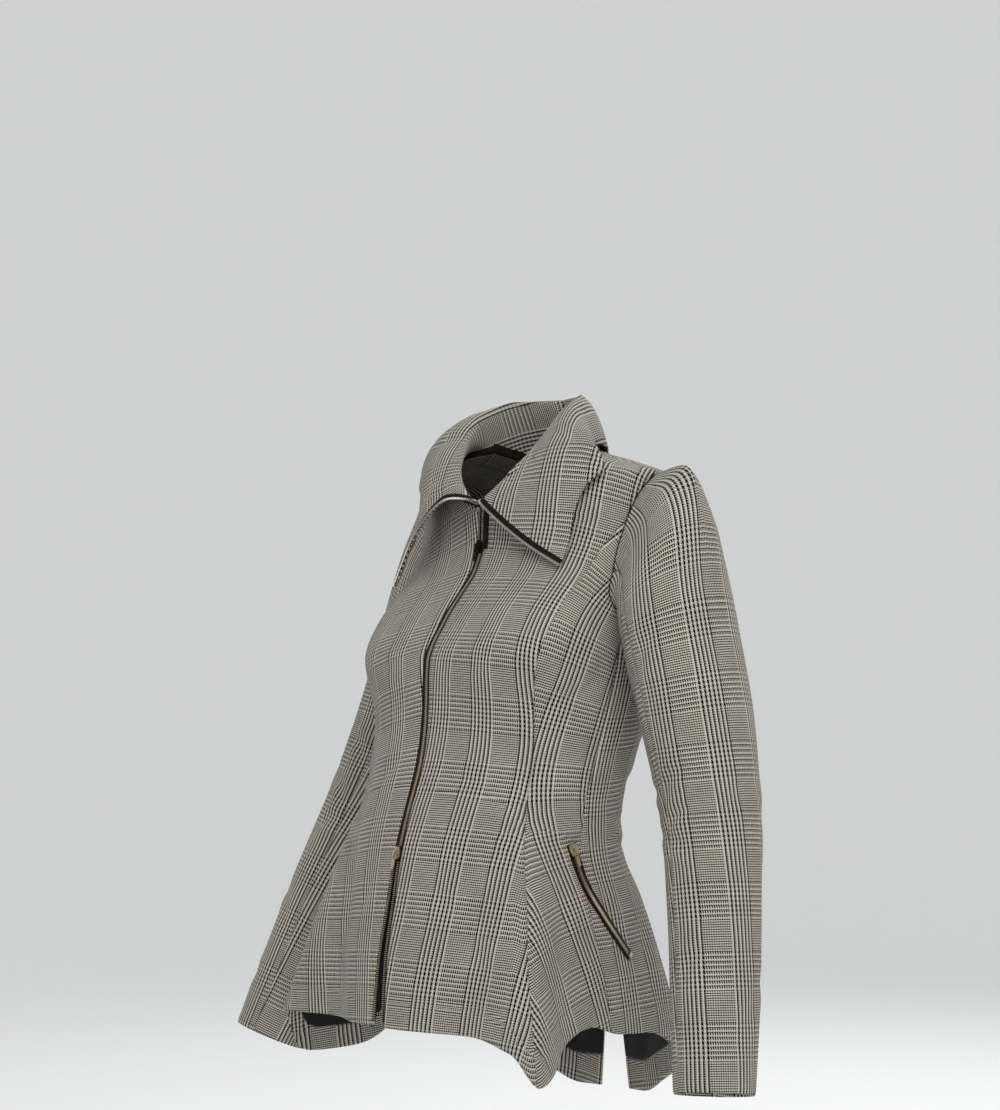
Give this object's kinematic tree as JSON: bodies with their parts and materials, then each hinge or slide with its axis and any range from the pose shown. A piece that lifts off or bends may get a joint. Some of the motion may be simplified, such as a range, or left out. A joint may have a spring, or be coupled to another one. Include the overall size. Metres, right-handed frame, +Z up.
{
  "type": "peplum jacket",
  "caption": "Fitted check wool jacket with a zip front, a wide collar folded open, puffed sleeve heads and a fluted, dipped peplum.",
  "frame": {"origin": "on the wearer's own middle line at the base of the neck, level with the neckline's side points, where the wearer holds the jacket up", "axes": "+Z up along the wearer's spine, -Y the way the wearer faces, +X the wearer's left"},
  "size_m": [0.6396, 0.319, 0.6733],
  "materials": {
    "wool": "matt 2/2 twill in a black and cream glen check",
    "lining": "soft satin",
    "zip_tape": "matt woven tape",
    "brass": "antique, lightly polished",
    "dark_brass": "dark antique"
  },
  "bodies": {
    "jacket": {"front_left": "wool", "facing_front_left": "wool", "lining_front_left": "lining", "side_front_left": "wool", "facing_side_front_left": "wool", "lining_side_front_left": "lining", "side_back_left": "wool", "facing_side_back_left": "wool", "lining_side_back_left": "lining", "back_left": "wool", "facing_back_left": "wool", "lining_back_left": "lining", "front_right": "wool", "facing_front_right": "wool", "lining_front_right": "lining", "side_front_right": "wool", "facing_side_front_right": "wool", "lining_side_front_right": "lining", "side_back_right": "wool", "facing_side_back_right": "wool", "lining_side_back_right": "lining", "back_right": "wool", "facing_back_right": "wool", "lining_back_right": "lining", "sleeve_upper_left": "wool", "sleeve_under_left": "wool", "sleeve_upper_right": "wool", "sleeve_under_right": "wool", "collar_left": "wool", "collar_tape_left": "zip_tape", "collar_right": "wool", "collar_tape_right": "zip_tape", "zip_tape_left": "zip_tape", "zip_tape_right": "zip_tape", "zip_chain": "brass", "zip_slider": "brass", "zip_top_slider": "dark_brass", "pocket_left_tape": "zip_tape", "pocket_left_chain": "brass", "pocket_left_stop": "brass", "pocket_left_slider": "brass", "pocket_right_tape": "zip_tape", "pocket_right_chain": "brass", "pocket_right_stop": "brass", "pocket_right_slider": "brass"},
    "zip_pull_tab": {"zip_pull": "brass"},
    "zip_top_pull_tab": {"zip_top_pull": "dark_brass"},
    "pocket_left_pull_tab": {"pocket_left_pull": "brass"},
    "pocket_right_pull_tab": {"pocket_right_pull": "brass"}
  },
  "joints": [
    {"name": "zip_pull_hinge", "type": "hinge", "parent": "jacket", "child": "zip_pull_tab", "pos_m": [0, -0.16453, -0.38423], "axis": [-1, 0, 0], "range_deg": [0, 150]},
    {"name": "zip_top_pull_hinge", "type": "hinge", "parent": "jacket", "child": "zip_top_pull_tab", "pos_m": [-0.01145, -0.04951, -0.09904], "axis": [-0.9903, 0.1392, 0], "range_deg": [0, 150]},
    {"name": "pocket_left_pull_hinge", "type": "hinge", "parent": "jacket", "child": "pocket_left_pull_tab", "pos_m": [0.13968, -0.07143, -0.38029], "axis": [-0.2375, -0.9222, -0.3052], "range_deg": [0, 150]},
    {"name": "pocket_right_pull_hinge", "type": "hinge", "parent": "jacket", "child": "pocket_right_pull_tab", "pos_m": [-0.14028, -0.07119, -0.38021], "axis": [-0.1704, 0.9372, 0.3043], "range_deg": [0, 150]}
  ]
}
